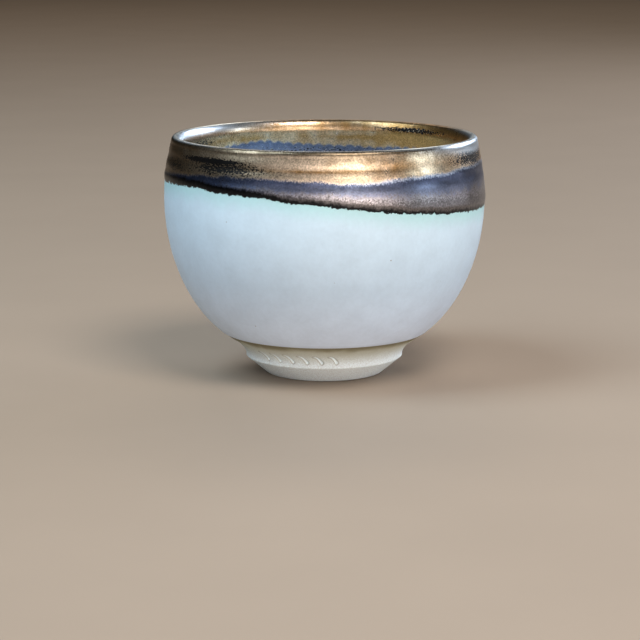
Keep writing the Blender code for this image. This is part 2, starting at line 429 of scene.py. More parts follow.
def spiralRise(angles, radius, height):
    wave = np.cos(angles + radius * math.tau / fingerSpiral["pitch"])
    inner = smooth(radius / fingerSpiral["middle"])
    outer = smooth((fingerSpiral["top"] - height) / fingerSpiral["fade"])
    return fingerSpiral["depth"] * wave * (inner * outer)


# Where the second glaze turns from gold to blue. Each lobe, in which the gold hangs down or draws
# back, is its angle, its half width in degrees and its lift. Inside, the line is a row of beads.
goldEdge = {
    "level": 42.7,
    "swing": 2.4,
    "highAngle": 90.0,
    "lobes": ((11.0, 21.0, -0.55), (-47.0, 58.0, 3.2)),
    "insideLevel": 44.3,
    "insideLobes": ((-152.0, 14.0, 0.9), (160.0, 20.0, -0.5), (20.0, 40.0, 0.6)),
    "wander": 0.35,
    "wanderLength": 5.0,
    "seed": 7.0,
    "beads": 84,
    "beadHeight": 0.5,
}

# A bluish-white line follows the gold's edge, clear on this side of the cup and faint elsewhere
paleLine = {"angle": 65.0, "faint": 0.15, "startCosine": 0.4, "cosineRange": 0.5}

# Patches in the second glaze: angle, height, half width in degrees, half height and strength
crystalPatches = (
    (-45.0, 47.2, 17.0, 0.6, 1.7),
    (-38.0, 45.8, 21.0, 1.5, 1.0),
    (-130.0, 46.5, 40.0, 2.2, 0.42),
    (-68.0, 45.2, 14.0, 1.8, 0.7),
    (68.0, 46.9, 18.0, 2.1, 1.2),
    (139.0, 48.35, 20.0, 0.6, 1.3),
    (176.0, 46.0, 30.0, 1.2, 0.35),
    (180.0, 43.0, 70.0, 1.6, 0.58),
    (-118.0, 46.3, 14.0, 1.4, 0.8),
)
# Amber patches. The first two are painted shade, a darker patch between the reflections of two lights and a
# line along the upper throwing groove; the rest are amber glaze
amberAndShadePatches = (
    (26.0, 46.6, 9.0, 2.4, 0.65),
    (0.0, 46.05, 27.0, 0.42, 0.8),
    (52.0, 46.4, 12.0, 1.4, 0.45),
    (-80.0, 46.5, 26.0, 4.0, 0.7),
    (112.0, 47.0, 36.0, 3.4, 1.2),
    (155.0, 46.2, 26.0, 0.6, 0.6),
    (-140.0, 46.4, 22.0, 0.6, 0.3),
)
# Smoky patches. The three on the left darken the glaze partly as its own dark colour and partly as painted
# shade; the rest are painted shade: a line in the upper throwing groove, a dimmer patch below it, and
# darkening along the lip all round and at the back
smokeAndShadePatches = (
    (-78.0, 45.0, 42.0, 6.0, 0.8),
    (-38.0, 45.8, 22.0, 2.2, 0.85),
    (-46.0, 47.0, 17.0, 0.6, 1.1),
    (12.0, 46.0, 26.0, 0.45, 0.62),
    (12.0, 44.3, 24.0, 0.7, 0.4),
    (0.0, 49.9, 400.0, 0.95, 0.9),
    (180.0, 49.9, 75.0, 0.5, 0.8),
)
# Where the blue outside is deep and dark; elsewhere it is greyer
deepPatches = (
    (-74.0, 41.0, 48.0, 9.0, 1.0),
    (-42.0, 39.5, 22.0, 6.0, 1.0),
    (80.0, 44.0, 30.0, 4.0, 0.45),
)
# Painted highlights on the lip, where light glints on its rounding, outside and inside
rimHighlightOutside = (
    (76.0, 49.6, 26.0, 1.6, 1.3),
    (46.0, 49.93, 26.0, 0.3, 0.9),
    (-70.0, 49.97, 30.0, 0.25, 0.9),
    (0.0, 49.97, 70.0, 0.2, 0.3),
)
rimHighlightInside = (
    (-104.0, 50.0, 42.0, 1.65, 1.35),
    (80.0, 50.1, 30.0, 0.8, 1.0),
)


def awayFrom(angles, place):
    # how many degrees round the cup a point lies from an angle
    return np.degrees(np.abs(np.angle(np.exp(1j * (angles - math.radians(place))))))


def patchStrength(patches, angles, height):
    strength = np.zeros_like(height)
    for place, middle, width, tall, most in patches:
        fade = np.exp(-(awayFrom(angles, place) / width) ** 2 - ((height - middle) / tall) ** 2)
        strength = np.maximum(strength, most * fade)
    return strength


def goldHeight(angles, inside):
    # height of the line where gold turns to blue
    if inside:
        beads = np.abs(np.sin(0.5 * goldEdge["beads"] * angles))
        level = goldEdge["insideLevel"] + goldEdge["beadHeight"] * beads
    else:
        level = goldEdge["level"] + goldEdge["swing"] * np.cos(angles - math.radians(goldEdge["highAngle"]))
    for place, width, lift in goldEdge["insideLobes" if inside else "lobes"]:
        level = level + lift * np.exp(-(awayFrom(angles, place) / width) ** 2)
    return level + wander(angles, goldEdge)


def perSide(function, angles):
    # works a slow function out once for each side instead of once for each point
    sides, place = np.unique(np.round(angles, 5), return_inverse=True)
    return function(sides)[place]


def readValues(mesh, name):
    values = np.zeros(len(mesh.vertices), np.float32)
    mesh.attributes[name].data.foreach_get("value", values)
    return values.astype(float)


def keepForMaterials(mesh, angles, height, run, stroke, isInside):
    # writes the values that the materials read onto the points
    goldInside = perSide(lambda sides: goldHeight(sides, True), angles)
    goldOutside = perSide(lambda sides: goldHeight(sides, False), angles)
    facing = np.cos(angles - math.radians(paleLine["angle"])) - paleLine["startCosine"]
    clear = smooth(facing / paleLine["cosineRange"])
    kept = {
        "run": run,
        "gold": height - np.where(isInside, goldInside, goldOutside),
        "stroke": stroke,
        "haze": paleLine["faint"] + (1.0 - paleLine["faint"]) * clear,
        "inside": isInside.astype(float),
        # strength of the painted highlights on the lip
        "paintedRimHighlight": np.where(isInside, patchStrength(rimHighlightInside, angles, height),
                         patchStrength(rimHighlightOutside, angles, height)),
        "deep": np.where(isInside, 0.0, patchStrength(deepPatches, angles, height)),
        "crystals": patchStrength(crystalPatches, angles, height),
        "amberAndShade": patchStrength(amberAndShadePatches, angles, height),
        "smokeAndShade": patchStrength(smokeAndShadePatches, angles, height),
    }
    for name, values in kept.items():
        mesh.attributes.new(name, "FLOAT", "POINT").data.foreach_set("value", values.astype(np.float32))


def shapeCup(mesh):
    # gives the turned form its glaze runs, rings, strokes and spiral
    spots = np.zeros(len(mesh.vertices) * 3, np.float32)
    mesh.vertices.foreach_get("co", spots)
    spots = spots.reshape(-1, 3).astype(float)
    angles = np.arctan2(spots[:, 0], -spots[:, 1])
    radius, height = readValues(mesh, "rowRadius"), readValues(mesh, "rowHeight")
    zone = np.round(readValues(mesh, "zone")).astype(int)
    lipMiddle = 0.5 * (lip[0][0] + lip[-1][0])
    isInside = (zone >= zones["insideBand"]) | ((zone == zones["lip"]) & (radius < lipMiddle))
    edgeOut = perSide(lambda sides: runEdge(outsideRun, sides), angles)
    edgeIn = perSide(lambda sides: runEdge(insideRun, sides), angles)

    band = zone == zones["outsideBand"]
    height[band] = shiftBand(outsideRun, height[band], edgeOut[band], bandStart, lip[0][1])
    inner = zone == zones["insideBand"]
    height[inner] = shiftBand(insideRun, height[inner], edgeIn[inner], insideBandStart, lip[-1][1])
    run = np.where(isInside, height - edgeIn, height - edgeOut)
    radius[band] = bowlRadius(height[band]) - ringDepth(height[band]) + runThickness(outsideRun, run[band])
    radius[inner] = insideRadius(height[inner]) - runThickness(insideRun, run[inner])

    bare = zone == zones["foot"]
    cut = strokeDepth(angles[bare], height[bare])
    radius[bare] -= cut
    height[bare] += strokes["lean"] * cut
    stroke = np.zeros_like(height)
    stroke[bare] = cut / strokes["depth"]
    glazed = zone == zones["bowl"]
    above = height[glazed] - foot["glazeLine"]
    step = foot["glazeStep"] * smooth(above / foot["glazeStepWidth"])
    radius[glazed] += step * (1.0 - smooth(above / foot["glazeStepFade"]))

    inside = zone == zones["inside"]
    height[inside] += spiralRise(angles[inside], radius[inside], height[inside])

    keepForMaterials(mesh, angles, height, run, stroke, isInside)
    spots[:, 0] = radius * np.sin(angles)
    spots[:, 1] = -radius * np.cos(angles)
    spots[:, 2] = height
    mesh.vertices.foreach_set("co", (spots * mm).astype(np.float32).ravel())
    return run, zone


teethRoom = 1.2  # how far below the second glaze's smooth edge its teeth may reach


def chooseMaterials(mesh, run, zone):
    # 0 the white glaze, 1 the lustre glaze and the narrow strip below its edge, 2 the bare clay
    starts = np.zeros(len(mesh.polygons), np.int32)
    corners = np.zeros(len(mesh.loops), np.int32)
    mesh.polygons.foreach_get("loop_start", starts)
    mesh.loops.foreach_get("vertex_index", corners)
    lowestRun = np.minimum.reduceat(run[corners], starts)
    highestZone = np.maximum.reduceat(zone[corners], starts)
    indices = np.where(lowestRun > -teethRoom, 1, np.where(highestZone <= zones["foot"], 2, 0))
    mesh.polygons.foreach_set("material_index", indices.astype(np.int32))


# In the materials a Map Range takes its value at 0, the range it reads at 1 and 2 and the range it
# gives at 3 and 4, which is 0 to 1 unless set. A Mix takes its share at 0, two numbers at 2 and 3
# and two colours at 6 and 7. Lengths of patterns are in millimetres. A pixel of the render is about
# 0.2 mm wide on the cup.
noiseLow, noiseMiddle, noiseHigh = 0.3, 0.5, 0.7  # where nearly all of a noise lies

# White glaze: a satin feldspar glaze, fired on stoneware. It is milky, blue-white where it is thick
# and turquoise where the second glaze bled into it, with a soft sheen and a few iron specks.
whiteGlaze = {
    # lighter towards the foot than up the wall: painted light, standing in for light thrown up from the
    # floor under the belly
    "low": "#dbe8f9",
    "middle": "#bbcddb",
    "high": "#bcd0da",
    "lowHeight": 8.0,
    "middleShare": 0.45,
    "highHeight": 40.0,
    "bleed": "#a2c5c6",
    "bleedReach": 4.0,
    "bleedFull": 0.2,
    "bleedWander": 2.4,
    "cloudLength": 5.0,
    "cloudShades": (0.95, 1.04),
    "mottleLength": 0.9,
    "mottleShades": (0.975, 1.02),
    "speck": "#75634f",
    "speckSpacing": 2.7,
    "speckRadius": 0.22,
    "speckless": 0.55,  # share of the places for a speck that stay empty
    "speckStrength": 0.75,
    "roughness": 0.46,
    "roughnessSwing": 0.05,
    "relief": 0.02,
    "ior": 1.52,
}

# Lustre glaze: an iron and cobalt glaze with a metallic skin. It mirrors light softly in gold where it
# broke over the lip, is blue-black where it ran thick, and carries fine dark crystals. The real
# crystals are finer than a pixel, so they and the grain are drawn coarse enough to show.
lustreGlaze = {
    "gold": "#cdb698",
    # amber glaze, also used as painted shade
    "amberAndShade": "#a57c48",
    "bronze": "#8d7a62",
    # dark smoky glaze, also used as painted shade
    "smokeAndShade": "#3b2f20",
    "crystal": "#0d0b0a",
    "paleCrystal": "#b9aa92",
    "deepBlue": "#263759",
    "blue": "#484e60",
    "slate": "#757887",
    "lavender": "#96908f",
    "rose": "#726c69",
    "edge": "#0b0b0e",
    "paleLine": "#a9b6c8",
    # colour of the painted highlights on the lip
    "rimHighlightColor": "#ccd6dc",
    "toothLength": 1.0,
    "toothHeight": 1.75,
    "toothRoughness": 0.65,
    "edgeSoftness": 0.05,
    "darkEdge": 0.35,
    "beltStart": 1.0,
    "deepEdge": 1.1,  # the dark edge is this much taller where the blue is deep
    "beltTones": (0.3, 0.45, 0.6, 0.9),  # places of rose, lavender, slate and blue in the belt
    "beltCloud": 0.3,
    "beltGrain": 0.4,
    "beltInside": -0.2,
    "bronzeStart": 3.6,
    "bronzeFull": 6.4,
    "bronzeCloud": 5.0,
    "amberAndShadeStart": 0.08,
    "amberAndShadeFull": 0.85,
    "amberAndShadeCloud": 0.9,
    "amberInside": 0.5,
    "smokeAndShadeCloud": 0.5,
    "goldStart": -0.2,
    "goldFull": 0.25,
    "goldCloud": 0.6,
    "goldFuzz": 0.9,
    "goldFuzzInside": 0.5,
    "lineReach": 0.5,
    "lineStrength": 0.75,
    "crystalLength": 0.5,
    "crystalFlatness": 2.2,
    "crystalLimit": 0.78,
    "crystalLimitThick": 0.25,
    "crystalsThick": 1.3,
    "crystalEdge": (-0.01, 0.03),  # how softly a crystal ends
    "paleCrystalStart": 0.64,
    "paleCrystalFull": 0.68,
    "paleSmokeAndShadeStart": 0.1,
    "paleSmokeAndShadeEnd": 0.5,
    "cloudLength": 2.4,
    "grainLength": 0.34,
    "sparkleNoise": (0.32, 0.68),
    "sparkle": (0.6, 1.3),
    "insideBrighter": 0.3,
    "rimHighlightStart": 0.1,
    "rimHighlightFull": 0.8,
    "rimHighlightGrain": 0.5,
    "edgeMetal": 0.5,
    "metal": 0.95,
    "metalStart": 0.1,
    "metalFull": 1.2,
    "crystalMetal": 0.75,
    "polish": 0.27,
    "dull": 0.36,
    "crystalDull": 0.1,
    "relief": 0.03,
    "grainRelief": 0.6,
}

# Bare stoneware: buff clay, trimmed and left unglazed. It is dry and chalky, with fine grain, and
# toasted to olive brown beside the glaze, darkened there also by painted shade; painted shade turns the
# cove olive under the belly. Its grain is drawn as coarse as a pixel, so that it shows.
bareClay = {
    "clay": "#f4ffff",
    "clayDark": "#dce0dc",
    "coveShade": "#b9b69c",
    # painted shade: olive up the cove, under the belly
    "coveShadeStart": 0.7,
    # toasted clay and painted shade beside the glaze
    "toastAndShade": "#7d7559",
    "toastAndShadeReach": 1.6,
    "toastAndShadeFull": 0.1,
    # painted shade round each stroke's rim and a painted highlight in its middle
    "strokeShade": "#8d8670",
    "strokeShadeStrength": 0.6,
    "strokeShadeWidth": 0.12,
    "strokeHighlightStart": 0.25,
    "strokeHighlightFull": 0.6,
    "cloudLength": 10 / 3,
    "cloudWander": 1.2,
    "grainLength": 0.22,
    "grainNoise": (0.35, 0.65),
    "roughness": 0.82,
    "relief": 0.04,
    "ior": 1.5,
}


def addPlace(tree):
    # the point on the cup, in millimetres
    coordinates = addNode(tree, "ShaderNodeTexCoord", output="Object")
    return addNode(tree, "ShaderNodeVectorMath", {0: coordinates, "Scale": 1 / mm}, 0, operation="SCALE")


def addWhiteLook(tree, place):
    # colour, roughness and relief of the white glaze
    look = whiteGlaze
    height = addNode(tree, "ShaderNodeSeparateXYZ", {0: place}, "Z")
    # the colour lightens from the belly down to the foot: painted light under the belly
    tone = addNode(tree, "ShaderNodeMapRange", {0: height, 1: look["lowHeight"], 2: look["highHeight"]}, 0)
    body = addNode(tree, "ShaderNodeValToRGB", {0: tone}, 0,
                   stops=((0.0, look["low"]), (look["middleShare"], look["middle"]), (1.0, look["high"])))

    # turquoise below the second glaze, with a cloudy border
    clouds = addNode(tree, "ShaderNodeTexNoise",
                     {"Vector": place, "Scale": 1 / look["cloudLength"], "Detail": 3.0}, 0)
    run = addNode(tree, "ShaderNodeAttribute", output="Fac", attribute_name="run")
    below = addNode(tree, "ShaderNodeMath", {0: clouds, 1: look["bleedWander"], 2: run}, 0,
                    operation="MULTIPLY_ADD")
    edge = noiseMiddle * look["bleedWander"]
    bleed = addNode(tree, "ShaderNodeMapRange",
                    {0: below, 1: edge - look["bleedReach"], 2: edge + look["bleedFull"]}, 0,
                    interpolation_type="SMOOTHSTEP")
    tinted = addNode(tree, "ShaderNodeMix", {0: bleed, 6: body, 7: hexColor(look["bleed"])}, 2,
                     data_type="RGBA")

    # clouds and mottle in the milky glaze
    mottle = addNode(tree, "ShaderNodeTexNoise", {"Vector": place, "Scale": 1 / look["mottleLength"]}, 0)
    shades, fineShades = look["cloudShades"], look["mottleShades"]
    shade = addNode(tree, "ShaderNodeMapRange",
                    {0: clouds, 1: noiseLow, 2: noiseHigh, 3: shades[0], 4: shades[1]}, 0)
    grain = addNode(tree, "ShaderNodeMapRange",
                    {0: mottle, 1: noiseLow, 2: noiseHigh, 3: fineShades[0], 4: fineShades[1]}, 0)
    value = addNode(tree, "ShaderNodeMath", {0: shade, 1: grain}, 0, operation="MULTIPLY")
    shaded = addNode(tree, "ShaderNodeVectorMath", {0: tinted, "Scale": value}, 0, operation="SCALE")

    # iron specks of different sizes
    cells = addNode(tree, "ShaderNodeTexVoronoi", {"Vector": place, "Scale": 1 / look["speckSpacing"]})
    chance = addNode(tree, "ShaderNodeSeparateColor", {0: cells.outputs["Color"]}, 0)
    largest = look["speckRadius"] / look["speckSpacing"]
    size = addNode(tree, "ShaderNodeMapRange",
                   {0: chance, 1: look["speckless"], 2: 1.0, 3: 0.0, 4: largest}, 0)
    near = addNode(tree, "ShaderNodeMath", {0: cells.outputs["Distance"], 1: size}, 0,
                   operation="LESS_THAN")
    specks = addNode(tree, "ShaderNodeMath", {0: near, 1: look["speckStrength"]}, 0, operation="MULTIPLY")
    color = addNode(tree, "ShaderNodeMix", {0: specks, 6: shaded, 7: hexColor(look["speck"])}, 2,
                    data_type="RGBA")
    smoothest = look["roughness"] - look["roughnessSwing"]
    roughest = look["roughness"] + look["roughnessSwing"]
    roughness = addNode(tree, "ShaderNodeMapRange",
                        {0: clouds, 1: noiseLow, 2: noiseHigh, 3: smoothest, 4: roughest}, 0)
    return color, roughness, mottle


def addSurface(tree, color, roughness, metallic, relief=None, depth=0.0, **constants):
    # the shader of a material; relief of 1 stands depth millimetres proud
    values = {"Base Color": color, "Roughness": roughness, "Metallic": metallic, **constants}
    if relief is not None:
        bump = {"Height": relief, "Distance": depth * mm}
        values["Normal"] = addNode(tree, "ShaderNodeBump", bump, "Normal")
    shader = addNode(tree, "ShaderNodeBsdfPrincipled", values, "BSDF")
    addNode(tree, "ShaderNodeOutputMaterial", {"Surface": shader})


def newMaterial(name):
    material = bpy.data.materials.new(name)
    material.use_nodes = True
    material.node_tree.nodes.clear()
    return material, material.node_tree


def makeWhiteGlaze():
    material, tree = newMaterial("satinWhiteGlaze")
    color, roughness, relief = addWhiteLook(tree, addPlace(tree))
    addSurface(tree, color, roughness, 0.0, relief, whiteGlaze["relief"], IOR=whiteGlaze["ior"])
    return material


def makeLustreGlaze():
    material, tree = newMaterial("lustreGlaze")
    look = lustreGlaze
    place = addPlace(tree)
    run, gold, patch, amberAndShade, smokeAndShade, deep, haze, inside, rimHighlightMask = [
        addNode(tree, "ShaderNodeAttribute", output="Fac", attribute_name=name)
        for name in ("run", "gold", "crystals", "amberAndShade", "smokeAndShade", "deep", "haze", "inside", "paintedRimHighlight")]
    teeth = addNode(tree, "ShaderNodeTexNoise",
                    {"Vector": place, "Scale": 1 / look["toothLength"], "Detail": 3.0,
                     "Roughness": look["toothRoughness"]}, 0)
    clouds = addNode(tree, "ShaderNodeTexNoise",
                     {"Vector": place, "Scale": 1 / look["cloudLength"], "Detail": 4.0}, 0)
    grain = addNode(tree, "ShaderNodeTexNoise",
                    {"Vector": place, "Scale": 1 / look["grainLength"], "Detail": 2.0}, 0)
    flat = addNode(tree, "ShaderNodeVectorMath", {0: place, 1: (1.0, 1.0, look["crystalFlatness"])}, 0,
                   operation="MULTIPLY")
    needles = addNode(tree, "ShaderNodeTexNoise",
                      {"Vector": flat, "Scale": 1 / look["crystalLength"], "Detail": 2.0}, 0)
    cloudy = addNode(tree, "ShaderNodeMath", {0: clouds, 1: noiseMiddle}, 0, operation="SUBTRACT")
    grainy = addNode(tree, "ShaderNodeMath", {0: grain, 1: noiseMiddle}, 0, operation="SUBTRACT")

    # the toothed edge, and how far a point is above it
    tooth = addNode(tree, "ShaderNodeMath", {0: teeth, 1: noiseMiddle}, 0, operation="SUBTRACT")
    above = addNode(tree, "ShaderNodeMath", {0: tooth, 1: look["toothHeight"], 2: run}, 0,
                    operation="MULTIPLY_ADD")
    cover = addNode(tree, "ShaderNodeMapRange",
                    {0: above, 1: -look["edgeSoftness"], 2: look["edgeSoftness"]}, 0)

    # the blue belt: its place between the edge at 0 and the gold at 1
    belt = addNode(tree, "ShaderNodeMath", {0: run, 1: gold}, 0, operation="SUBTRACT")
    share = addNode(tree, "ShaderNodeMath", {0: above, 1: belt}, 0, operation="DIVIDE")
    cloudyShare = addNode(tree, "ShaderNodeMath", {0: cloudy, 1: look["beltCloud"], 2: share}, 0,
                          operation="MULTIPLY_ADD")
    grainyShare = addNode(tree, "ShaderNodeMath", {0: grainy, 1: look["beltGrain"], 2: cloudyShare}, 0,
                          operation="MULTIPLY_ADD")
    bent = addNode(tree, "ShaderNodeMath", {0: inside, 1: look["beltInside"], 2: grainyShare}, 0,
                   operation="MULTIPLY_ADD")
    tones = [look[name] for name in ("rose", "lavender", "slate", "blue")]
    greyed = addNode(tree, "ShaderNodeValToRGB", {0: bent}, 0, stops=tuple(zip(look["beltTones"], tones)))
    beltColor = addNode(tree, "ShaderNodeMix", {0: deep, 6: greyed, 7: hexColor(look["deepBlue"])}, 2,
                        data_type="RGBA")
    pool = addNode(tree, "ShaderNodeMath", {0: deep, 1: -look["deepEdge"], 2: above}, 0,
                   operation="MULTIPLY_ADD")
    dark = addNode(tree, "ShaderNodeMapRange", {0: pool, 1: look["darkEdge"], 2: look["beltStart"]}, 0)
    edged = addNode(tree, "ShaderNodeMix", {0: dark, 6: hexColor(look["edge"]), 7: beltColor}, 2,
                    data_type="RGBA")

    # pale gold, bronze towards the lip, amber and smoke in cloudy patches, some of which are painted shade
    goldTone = addNode(tree, "ShaderNodeMath", {0: cloudy, 1: look["bronzeCloud"], 2: gold}, 0,
                       operation="MULTIPLY_ADD")
    bronzed = addNode(tree, "ShaderNodeMapRange",
                      {0: goldTone, 1: look["bronzeStart"], 2: look["bronzeFull"]}, 0)
    pale = addNode(tree, "ShaderNodeMix",
                   {0: bronzed, 6: hexColor(look["gold"]), 7: hexColor(look["bronze"])}, 2,
                   data_type="RGBA")
    warmer = addNode(tree, "ShaderNodeMath", {0: inside, 1: look["amberInside"], 2: amberAndShade}, 0,
                     operation="MULTIPLY_ADD")
    amberAndShadeCloud = addNode(tree, "ShaderNodeMath", {0: cloudy, 1: look["amberAndShadeCloud"], 2: warmer}, 0,
                         operation="MULTIPLY_ADD")
    amberAndShadeMask = addNode(tree, "ShaderNodeMapRange",
                        {0: amberAndShadeCloud, 1: look["amberAndShadeStart"], 2: look["amberAndShadeFull"]}, 0)
    amberedAndShaded = addNode(tree, "ShaderNodeMix", {0: amberAndShadeMask, 6: pale, 7: hexColor(look["amberAndShade"])}, 2,
                      data_type="RGBA")
    smokeAndShadeMask = addNode(tree, "ShaderNodeMath", {0: cloudy, 1: look["smokeAndShadeCloud"], 2: smokeAndShade}, 0,
                        operation="MULTIPLY_ADD", use_clamp=True)
    smokedAndShaded = addNode(tree, "ShaderNodeMix", {0: smokeAndShadeMask, 6: amberedAndShaded, 7: hexColor(look["smokeAndShade"])}, 2,
                     data_type="RGBA")

    # the gold's fuzzy lower edge, with the pale line along it
    fuzzSize = addNode(tree, "ShaderNodeMapRange",
                       {0: inside, 3: look["goldFuzz"], 4: look["goldFuzzInside"]}, 0)
    fuzz = addNode(tree, "ShaderNodeMath", {0: grainy, 1: fuzzSize, 2: gold}, 0, operation="MULTIPLY_ADD")
    toGold = addNode(tree, "ShaderNodeMath", {0: cloudy, 1: look["goldCloud"], 2: fuzz}, 0,
                     operation="MULTIPLY_ADD")
    goldMask = addNode(tree, "ShaderNodeMapRange",
                       {0: toGold, 1: look["goldStart"], 2: look["goldFull"]}, 0)
    lustre = addNode(tree, "ShaderNodeMix", {0: goldMask, 6: edged, 7: smokedAndShaded}, 2, data_type="RGBA")
    lineAway = addNode(tree, "ShaderNodeMath", {0: toGold}, 0, operation="ABSOLUTE")
    line = addNode(tree, "ShaderNodeMapRange",
                   {0: lineAway, 1: 0.0, 2: look["lineReach"], 3: look["lineStrength"], 4: 0.0}, 0)
    hazed = addNode(tree, "ShaderNodeMath", {0: line, 1: haze}, 0, operation="MULTIPLY")
    lined = addNode(tree, "ShaderNodeMix", {0: hazed, 6: lustre, 7: hexColor(look["paleLine"])}, 2,
                    data_type="RGBA")

    # dark crystals, thick in the patches and none elsewhere, with a few pale ones between them
    limit = addNode(tree, "ShaderNodeMapRange",
                    {0: patch, 1: 0.0, 2: look["crystalsThick"],
                     3: look["crystalLimit"], 4: look["crystalLimitThick"]}, 0)
    excess = addNode(tree, "ShaderNodeMath", {0: needles, 1: limit}, 0, operation="SUBTRACT")
    picked = addNode(tree, "ShaderNodeMapRange",
                     {0: excess, 1: look["crystalEdge"][0], 2: look["crystalEdge"][1]}, 0)
    paleSpot = addNode(tree, "ShaderNodeMapRange",
                       {0: grain, 1: look["paleCrystalStart"], 2: look["paleCrystalFull"]}, 0)
    paleHere = addNode(tree, "ShaderNodeMapRange",
                       {0: smokeAndShade, 1: look["paleSmokeAndShadeStart"], 2: look["paleSmokeAndShadeEnd"], 3: 1.0, 4: 0.0}, 0)
    paleAmount = addNode(tree, "ShaderNodeMath", {0: paleHere, 1: patch}, 0, operation="MULTIPLY")
    palePicked = addNode(tree, "ShaderNodeMath", {0: paleSpot, 1: paleAmount}, 0, operation="MULTIPLY")
    speckled = addNode(tree, "ShaderNodeMix", {0: picked, 6: lined, 7: hexColor(look["crystal"])}, 2,
                       data_type="RGBA")
    sprinkled = addNode(tree, "ShaderNodeMix",
                        {0: palePicked, 6: speckled, 7: hexColor(look["paleCrystal"])}, 2, data_type="RGBA")
    sparkleNoise, sparkleShades = look["sparkleNoise"], look["sparkle"]
    sparkle = addNode(tree, "ShaderNodeMapRange",
                      {0: grain, 1: sparkleNoise[0], 2: sparkleNoise[1],
                       3: sparkleShades[0], 4: sparkleShades[1]}, 0)
    brighter = addNode(tree, "ShaderNodeMath", {0: inside, 1: look["insideBrighter"], 2: sparkle}, 0,
                       operation="MULTIPLY_ADD")
    grained = addNode(tree, "ShaderNodeVectorMath", {0: sprinkled, "Scale": brighter}, 0, operation="SCALE")

    # painted highlights on the lip
    rimHighlightGrainy = addNode(tree, "ShaderNodeMath", {0: grainy, 1: look["rimHighlightGrain"], 2: rimHighlightMask}, 0,
                   operation="MULTIPLY_ADD")
    rimHighlightShare = addNode(tree, "ShaderNodeMapRange", {0: rimHighlightGrainy, 1: look["rimHighlightStart"], 2: look["rimHighlightFull"]}, 0)
    paintedRimHighlight = addNode(tree, "ShaderNodeMix", {0: rimHighlightShare, 6: grained, 7: hexColor(look["rimHighlightColor"])}, 2,
                   data_type="RGBA")

    # below the teeth the white glaze shows
    whiteColor, whiteRoughness, whiteRelief = addWhiteLook(tree, place)
    color = addNode(tree, "ShaderNodeMix", {0: cover, 6: whiteColor, 7: paintedRimHighlight}, 2, data_type="RGBA")
    metalInBelt = addNode(tree, "ShaderNodeMapRange",
                          {0: above, 1: look["metalStart"], 2: look["metalFull"],
                           3: look["edgeMetal"], 4: look["metal"]}, 0)
    metalOfCrystals = addNode(tree, "ShaderNodeMapRange", {0: picked, 3: 1.0, 4: look["crystalMetal"]}, 0)
    metal = addNode(tree, "ShaderNodeMath", {0: metalInBelt, 1: metalOfCrystals}, 0, operation="MULTIPLY")
    metallic = addNode(tree, "ShaderNodeMath", {0: metal, 1: cover}, 0, operation="MULTIPLY")
    polish = addNode(tree, "ShaderNodeMapRange",
                     {0: clouds, 1: noiseLow, 2: noiseHigh, 3: look["polish"], 4: look["dull"]}, 0)
    dulled = addNode(tree, "ShaderNodeMath", {0: picked, 1: look["crystalDull"], 2: polish}, 0,
                     operation="MULTIPLY_ADD")
    roughness = addNode(tree, "ShaderNodeMix", {0: cover, 2: whiteRoughness, 3: dulled}, 0)
    bumps = addNode(tree, "ShaderNodeMath", {0: grain, 1: look["grainRelief"], 2: teeth}, 0,
                    operation="MULTIPLY_ADD")
    relief = addNode(tree, "ShaderNodeMix", {0: cover, 2: whiteRelief, 3: bumps}, 0)
    addSurface(tree, color, roughness, metallic, relief, look["relief"])
    return material


